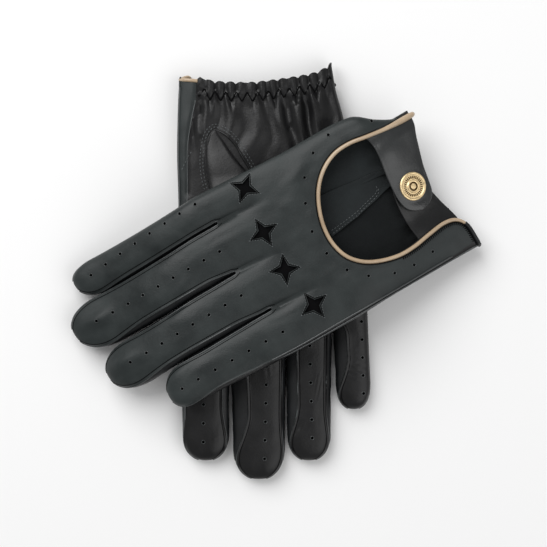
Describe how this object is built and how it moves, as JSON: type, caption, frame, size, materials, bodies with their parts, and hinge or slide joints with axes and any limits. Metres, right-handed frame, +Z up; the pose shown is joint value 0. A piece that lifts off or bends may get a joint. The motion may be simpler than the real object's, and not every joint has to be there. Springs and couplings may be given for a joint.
{
  "type": "pair of leather driving gloves",
  "caption": "Pair of short leather driving gloves laid crossed, with keyhole backs, star cut-outs, wrist straps with press fasteners and tan piping.",
  "frame": {"origin": "centre of the pair's footprint, on the surface it lies on", "axes": "+Z up, +Y from the right glove's fingertips to its cuff, +X towards the left glove's cuff"},
  "size_m": [0.2139, 0.2168, 0.0334],
  "materials": {
    "leather_back": "smooth dark green-grey, satin",
    "leather_palm": "smooth black, satin",
    "leather_gusset": "smooth black, satin",
    "leather_underlay": "black, suede side out",
    "piping_tan": "tan, smooth",
    "brass": "struck and polished",
    "elastic_black": "woven elastic tape"
  },
  "bodies": {
    "right_glove": {"right_back_panel": "leather_back", "right_palm_panel": "leather_palm", "right_fourchette_little_ring": "leather_gusset", "right_fourchette_ring_middle": "leather_gusset", "right_fourchette_middle_index": "leather_gusset", "right_piping": "piping_tan", "right_cuff_elastic": "elastic_black", "right_star_underlay": "leather_underlay"},
    "right_thumb": {"right_thumb_stall": "leather_palm"},
    "right_strap_flap": {"right_strap": "leather_back", "right_snap_cap": "brass", "right_snap_socket": "brass"},
    "right_tab_flap": {"right_under_tab": "leather_back", "right_snap_stud": "brass", "right_snap_post": "brass"},
    "left_glove": {"left_back_panel": "leather_back", "left_palm_panel": "leather_palm", "left_fourchette_little_ring": "leather_gusset", "left_fourchette_ring_middle": "leather_gusset", "left_fourchette_middle_index": "leather_gusset", "left_piping": "piping_tan", "left_cuff_elastic": "elastic_black", "left_star_underlay": "leather_underlay"},
    "left_thumb": {"left_thumb_stall": "leather_palm"},
    "left_strap_flap": {"left_strap": "leather_back", "left_snap_cap": "brass", "left_snap_socket": "brass"},
    "left_tab_flap": {"left_under_tab": "leather_back", "left_snap_stud": "brass", "left_snap_post": "brass"}
  },
  "joints": [
    {"name": "left_glove_lift", "type": "slide", "parent": "right_glove", "child": "left_glove", "axis": [0, 0, 1], "range_m": [0, 0.1]},
    {"name": "right_thumb_swing", "type": "hinge", "parent": "right_glove", "child": "right_thumb", "pos_m": [-0.02104, 0.05482, 0.0162], "axis": [0, 0, -1], "range_deg": [0, 15]},
    {"name": "right_strap_hinge", "type": "hinge", "parent": "right_glove", "child": "right_strap_flap", "pos_m": [-0.04584, 0.08882, 0.0007], "axis": [0, 1, 0], "range_deg": [0, 150]},
    {"name": "right_tab_hinge", "type": "hinge", "parent": "right_glove", "child": "right_tab_flap", "pos_m": [0.01426, 0.08482, 0.0035], "axis": [0, 1, 0], "range_deg": [0, 6], "stiffness_Nm_per_rad": 0.05},
    {"name": "left_thumb_swing", "type": "hinge", "parent": "left_glove", "child": "left_thumb", "pos_m": [0.03652, 0.0492, 0.0172], "axis": [0, 0, -1], "range_deg": [0, 18]},
    {"name": "left_strap_hinge", "type": "hinge", "parent": "left_glove", "child": "left_strap_flap", "pos_m": [0.06133, 0.07382, 0.029], "axis": [-0.8282, -0.4814, 0.2869], "range_deg": [0, 150]},
    {"name": "left_tab_hinge", "type": "hinge", "parent": "left_glove", "child": "left_tab_flap", "pos_m": [0.08696, 0.01978, 0.01553], "axis": [-0.8337, -0.4665, 0.2954], "range_deg": [0, 6], "stiffness_Nm_per_rad": 0.05}
  ]
}
